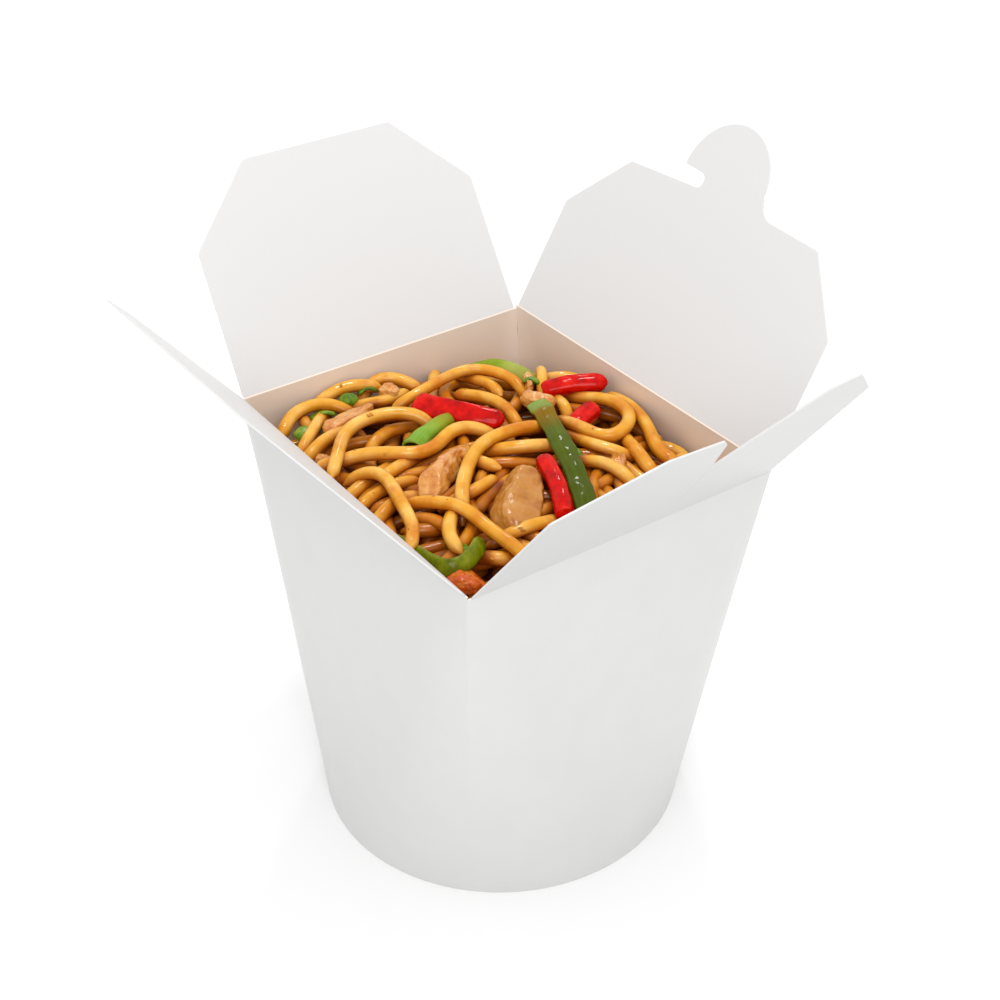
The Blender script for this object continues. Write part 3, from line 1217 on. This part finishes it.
def build_crumbs(material):
    """Crumbs of the sauce, strewn over the noodles that lie open to above."""
    count, seed = 70, 11
    above, reach = 104.6, 12.0          # height that they fall from, and how far they may fall
    down = Vector((0.0, 0.0, -1.0))
    graph = bpy.context.evaluated_depsgraph_get()
    rng = random.Random(seed)
    spots = []
    while len(spots) < count:
        x, y = rng.uniform(-47.0, 47.0), rng.uniform(-39.0, 39.0)
        found, spot, normal, _, piece, _ = bpy.context.scene.ray_cast(
            graph, Vector((x, y, above)) * MM, down, distance=reach * MM)
        if found and piece.name == "noodle_strands" and normal.z > 0.2:
            spots.append((spot, normal, rng.choice((0.2, 0.22, 0.26, 0.32, 0.45)), rng.uniform(0.0, 6.3)))
    bpy.ops.object.select_all(action="DESELECT")
    bpy.ops.mesh.primitive_ico_sphere_add(subdivisions=1, radius=1.0)
    crumbs = start_piece("sauce_crumbs")
    shape = [vert.co.copy() for vert in crumbs.data.vertices]
    faces = [tuple(face.vertices) for face in crumbs.data.polygons]
    stretch = Vector((1.5, 0.9, 0.6))
    bm = bmesh.new()
    for spot, normal, size, turn in spots:
        tilt = normal.to_track_quat("Z", "Y").to_matrix() @ Matrix.Rotation(turn, 3, "Z")
        made = [bm.verts.new(spot + tilt @ (point * stretch) * size * MM) for point in shape]
        for face in faces:
            bm.faces.new([made[vertex] for vertex in face])
    bm.to_mesh(crumbs.data)
    bm.free()
    finish_piece(crumbs, BODY, [material])


# ---------------------------------------------------------------- stage

def build_stage(floor_colour, dome, key_power, fill_power, glint_power):
    """A plain pale floor and soft studio light."""
    bpy.ops.object.select_all(action="DESELECT")
    bpy.ops.mesh.primitive_plane_add(size=6.0, location=(0.0, 0.0, -0.00002))
    floor = start_piece("floor")
    # painted board, matt: an even white that shows only soft shadows
    material, _, _ = new_material(
        "matt_white_floor", Base_Color=linear(floor_colour), Roughness=0.35, IOR=1.3)
    floor.data.materials.append(material)

    world = bpy.data.worlds.new("white_studio")
    world.use_nodes = True
    sky = world.node_tree.nodes["Background"]
    sky.inputs["Color"].default_value = (1.0, 1.0, 1.0, 1.0)
    sky.inputs["Strength"].default_value = dome
    bpy.context.scene.world = world
    bpy.context.scene.view_settings.view_transform = "Standard"

    # name, place and size in metres, and power
    lamps = (("key", (-0.1, 0.15, 1.05), 0.22, key_power),
             ("fill", (0.6, -0.38, 0.62), 0.5, fill_power),
             ("glint", (-0.5, 0.36, 0.66), 0.07, glint_power))
    aim = Vector((0.0, 0.0, 0.08))
    for name, spot, size, power in lamps:
        lamp = bpy.data.lights.new(name, "AREA")
        lamp.shape = "DISK"
        lamp.size = size
        lamp.energy = power
        obj = bpy.data.objects.new(name, lamp)
        obj.location = spot
        obj.rotation_euler = (aim - Vector(spot)).to_track_quat("-Z", "Y").to_euler()
        bpy.context.scene.collection.objects.link(obj)


def build_camera():
    """The camera: above the front corner, looking down at the rim."""
    azimuth, elevation, roll = (math.radians(value) for value in (55.67, 33.92, -0.94))
    distance, shift_right, shift_up = 386.11, 1.08, -16.42      # in mm, the shifts from the rim's middle
    flat = math.cos(elevation)
    back = Vector((math.sin(azimuth) * flat, -math.cos(azimuth) * flat, math.sin(elevation)))
    level = Vector((math.cos(azimuth), math.sin(azimuth), 0.0))
    upright = back.cross(level)
    right = level * math.cos(roll) + upright * math.sin(roll)
    up = upright * math.cos(roll) - level * math.sin(roll)
    target = Vector((0.0, 0.0, RIM)) + right * shift_right + up * shift_up
    data = bpy.data.cameras.new("camera")
    data.sensor_width = 36.0
    data.lens = 58.99
    data.clip_start = 0.01
    camera = bpy.data.objects.new("camera", data)
    turned = Matrix((right, up, back)).transposed().to_4x4()
    camera.matrix_world = Matrix.Translation((target + back * distance) * MM) @ turned
    bpy.context.scene.collection.objects.link(camera)
    bpy.context.scene.camera = camera


# ---------------------------------------------------------------- settings

class CartonSettings(bpy.types.PropertyGroup):
    """Sizes and colours of the carton."""
    board: bpy.props.FloatProperty(
        name="Board", description="Thickness of the board in mm", default=0.42, min=0.3, max=1.0)
    facets: bpy.props.IntProperty(
        name="Facets", description="Facets along each wall", default=64, min=16, max=128)
    rings: bpy.props.IntProperty(
        name="Rings", description="Rings up the walls", default=14, min=2, max=40)
    outside: bpy.props.FloatVectorProperty(
        name="Outside", description="Colour of the outer face",
        default=linear("#CECECD")[:3], subtype="COLOR", min=0.0, max=1.0)
    outside_shade: bpy.props.FloatVectorProperty(
        name="Outside shade", description="Its darker clouds",
        default=linear("#CCCCCB")[:3], subtype="COLOR", min=0.0, max=1.0)
    flap: bpy.props.FloatVectorProperty(
        name="Flap", description="Colour of the flaps' outer face",
        default=linear("#C6C6C5")[:3], subtype="COLOR", min=0.0, max=1.0)
    inside: bpy.props.FloatVectorProperty(
        name="Inside", description="Colour of the inner face",
        default=linear("#D6D6D6")[:3], subtype="COLOR", min=0.0, max=1.0)
    stain: bpy.props.FloatVectorProperty(
        name="Stain", description="Inside of the walls, warmed by sauce and grease",
        default=linear("#E8DACB")[:3], subtype="COLOR", min=0.0, max=1.0)


class NoodleSettings(bpy.types.PropertyGroup):
    """Sizes of the noodles."""
    thickness: bpy.props.FloatProperty(
        name="Thickness", description="Thickness in mm", default=3.35, min=2.0, max=7.0)
    loose: bpy.props.IntProperty(
        name="Loose", description="Noodles under the top ones", default=58, min=5, max=90)
    rounds: bpy.props.IntProperty(
        name="Rounds", description="Steps of settling", default=160, min=10, max=600)
    seed: bpy.props.IntProperty(
        name="Seed", description="Lay of the loose noodles", default=5, min=0)


class StageSettings(bpy.types.PropertyGroup):
    """Floor and light."""
    floor: bpy.props.FloatVectorProperty(
        name="Floor", description="Floor colour",
        default=linear("#FAFAFA")[:3], subtype="COLOR", min=0.0, max=1.0)
    dome: bpy.props.FloatProperty(
        name="Dome", description="Strength of the soft light", default=0.92, min=0.0, max=5.0)
    key: bpy.props.FloatProperty(
        name="Key", description="Power of the lamp overhead", default=3.1, min=0.0, max=50.0, unit="POWER")
    fill: bpy.props.FloatProperty(
        name="Fill", description="Power of the lamp at the side", default=2.6, min=0.0, max=50.0,
        unit="POWER")
    glint: bpy.props.FloatProperty(
        name="Glint", description="Power of the small lamp behind", default=0.4, min=0.0, max=50.0,
        unit="POWER")


# ---------------------------------------------------------------- operators

def board_set(settings, greased=False):
    """Outside, inside and cut edge of the board, made once."""
    if "coated_board_outside" not in bpy.data.materials:
        outside, shade = settings.outside, settings.outside_shade
        flap, inside = settings.flap, settings.inside
        board_material("coated_board_outside", outside, shade, roughness=0.42, coat=0.15)
        board_material("coated_board_flap", flap, flap, roughness=0.42, coat=0.15)
        board_material("lined_board_inside", inside, inside, roughness=0.5, coat=0.05)
        board_material("lined_board_greased", inside, inside, roughness=0.4, coat=0.1, stain=settings.stain)
        board_material("board_cut_edge", "#D6D6D5", "#D0D0CE", roughness=0.7, coat=0.0)
    if greased:
        names = ("coated_board_outside", "lined_board_greased", "lined_board_greased")
    else:
        names = ("coated_board_flap", "lined_board_inside", "board_cut_edge")
    return [bpy.data.materials[name] for name in names]


class NOODLEBOX_OT_carton(bpy.types.Operator):
    """Build the carton's tub"""
    bl_idname = "noodlebox.carton"
    bl_label = "Carton"

    def execute(self, context):
        settings = context.scene.noodlebox_carton
        build_carton(settings.board, settings.facets, settings.rings, board_set(settings, greased=True))
        return {"FINISHED"}


class NOODLEBOX_OT_flaps(bpy.types.Operator):
    """Build the four open flaps and their creased folds"""
    bl_idname = "noodlebox.flaps"
    bl_label = "Flaps"

    def execute(self, context):
        settings = context.scene.noodlebox_carton
        for side in FLAPS:
            build_flap(side, settings.board, board_set(settings))
            build_fold(side, settings.board, board_set(settings))
        return {"FINISHED"}


class NOODLEBOX_OT_noodles(bpy.types.Operator):
    """Lay the noodles over their dark core"""
    bl_idname = "noodlebox.noodles"
    bl_label = "Noodles"

    def execute(self, context):
        settings = context.scene.noodlebox_noodles
        build_core(food_material("soy_sauce_mass"))
        solids = [cad_tree(node, 3.0) for node in TOPPINGS]
        lines = top_noodles()
        held = len(lines)
        lines += loose_noodles(settings.loose, settings.seed, low=-6.5, high=-1.5)
        lines = settle(lines, held, settings.thickness, solids, settings.rounds)
        tubes = noodle_tubes("noodle_strands", lines, held, settings.thickness, settings.seed)
        shelter(tubes, [frame["nodes"][node] for node in TOPPINGS], reach=9.0)
        finish_piece(tubes, BODY, [noodle_material()], ("noodles",))
        return {"FINISHED"}


class NOODLEBOX_OT_peppers(bpy.types.Operator):
    """Lay the red and green pepper strips"""
    bl_idname = "noodlebox.peppers"
    bl_label = "Pepper strips"

    def execute(self, context):
        # pepper skin, fried and oiled: a deep even red with hard glints
        red = cut_material(
            "red_pepper_skin", [(0.3, "#8E0401"), (0.5, "#C40601"), (0.7, "#D81E0A")],
            [(0.3, "#A8331A"), (0.7, "#C65A3A")])
        flesh = [(0.3, "#949028"), (0.7, "#B8B050")]
        # pepper skin with a pale rib, browned by sauce at its far end
        back = cut_material(
            "green_pepper_skin", [(0.3, "#566A04"), (0.5, "#74880E"), (0.7, "#909C2C")], flesh,
            along=[(0.0, "#6E8406"), (9.0, "#7F9414"), (14.0, "#A9AC55"), (21.0, "#8C8434"),
                   (24.0, "#6A4A12")])
        # pepper skin, fried soft: darker and more olive
        hook = cut_material(
            "green_pepper_ring", [(0.3, "#4C5402"), (0.5, "#667004"), (0.7, "#868A1A")], flesh)
        build_peppers(red, back, hook)
        return {"FINISHED"}


class NOODLEBOX_OT_onion(bpy.types.Operator):
    """Lay the spring onion's stalk and leaf"""
    bl_idname = "noodlebox.onion"
    bl_label = "Spring onion"

    def execute(self, context):
        flesh = [(0.3, "#8E9430"), (0.7, "#B4B460")]
        # onion skin, ribbed lengthwise: fresh green, tanned by sauce at its far end
        stalk = cut_material(
            "spring_onion_stalk", [(0.3, "#48700E"), (0.5, "#668C20"), (0.7, "#A0B65E")], flesh, veins=0.5,
            along=[(0.0, "#7C8A1E"), (4.0, "#6E9A2C"), (10.0, "#7FA22E"), (14.0, "#8F9016"),
                   (18.0, "#8C7A10")])
        # onion leaf, veined: a pale end, a band stained brown by sauce, and then dark olive
        leaf = cut_material(
            "spring_onion_leaf", [(0.3, "#324002"), (0.5, "#4A5602"), (0.7, "#70800E")], flesh, veins=0.7,
            along=[(0.0, "#86A44A"), (5.5, "#84A044"), (8.5, "#8A5C0C"), (12.0, "#7A5A08"),
                   (17.0, "#4A5802"), (48.0, "#3C4802")])
        build_onion(stalk, food_material("spring_onion_hollow"), leaf)
        return {"FINISHED"}


class NOODLEBOX_OT_chicken(bpy.types.Operator):
    """Lay the pieces of chicken"""
    bl_idname = "noodlebox.chicken"
    bl_label = "Chicken"

    def execute(self, context):
        build_chicken(food_material("sauteed_chicken"), food_material("glazed_chicken"))
        return {"FINISHED"}


class NOODLEBOX_OT_carrot(bpy.types.Operator):
    """Lay the block of carrot"""
    bl_idname = "noodlebox.carrot"
    bl_label = "Carrot"

    def execute(self, context):
        build_carrot(food_material("cooked_carrot"))
        return {"FINISHED"}


class NOODLEBOX_OT_bits(bpy.types.Operator):
    """Strew the small bits between the noodles"""
    bl_idname = "noodlebox.bits"
    bl_label = "Small bits"

    def execute(self, context):
        build_leaf_bits(food_material("cut_green_leaf"))
        build_shreds(bpy.data.materials["glazed_chicken"])
        build_crumbs(food_material("sauce_crumb"))
        return {"FINISHED"}


class NOODLEBOX_OT_stage(bpy.types.Operator):
    """Set up the floor, the light and the camera"""
    bl_idname = "noodlebox.stage"
    bl_label = "Stage"

    def execute(self, context):
        settings = context.scene.noodlebox_stage
        build_stage(settings.floor, settings.dome, settings.key, settings.fill, settings.glint)
        build_camera()
        return {"FINISHED"}


OPERATORS = (NOODLEBOX_OT_carton, NOODLEBOX_OT_flaps, NOODLEBOX_OT_noodles, NOODLEBOX_OT_peppers,
             NOODLEBOX_OT_onion, NOODLEBOX_OT_chicken, NOODLEBOX_OT_carrot, NOODLEBOX_OT_bits,
             NOODLEBOX_OT_stage)
SETTINGS = {
    "noodlebox_carton": CartonSettings,
    "noodlebox_noodles": NoodleSettings,
    "noodlebox_stage": StageSettings,
}


class NOODLEBOX_PT_panel(bpy.types.Panel):
    """Buttons and settings for each piece of the box"""
    bl_label = "Noodle box"
    bl_space_type = "VIEW_3D"
    bl_region_type = "UI"
    bl_category = "Noodle box"

    def draw(self, context):
        for name, group in SETTINGS.items():
            box = self.layout.box()
            box.label(text=group.__doc__)
            for key in group.__annotations__:
                box.prop(getattr(context.scene, name), key)
        for operator in OPERATORS:
            self.layout.operator(operator.bl_idname)


def register():
    for item in (*SETTINGS.values(), *OPERATORS, NOODLEBOX_PT_panel):
        bpy.utils.register_class(item)
    for name, group in SETTINGS.items():
        setattr(bpy.types.Scene, name, bpy.props.PointerProperty(type=group))


def unregister():
    for name in SETTINGS:
        delattr(bpy.types.Scene, name)
    for item in reversed((*SETTINGS.values(), *OPERATORS, NOODLEBOX_PT_panel)):
        bpy.utils.unregister_class(item)


def main():
    """Build the whole box and write its size."""
    register()
    bpy.ops.noodlebox.stage()
    bpy.ops.noodlebox.carton()
    bpy.ops.noodlebox.flaps()
    bpy.ops.noodlebox.noodles()
    bpy.ops.noodlebox.peppers()
    bpy.ops.noodlebox.onion()
    bpy.ops.noodlebox.chicken()
    bpy.ops.noodlebox.carrot()
    bpy.ops.noodlebox.bits()


if __name__ == "__main__":
    main()
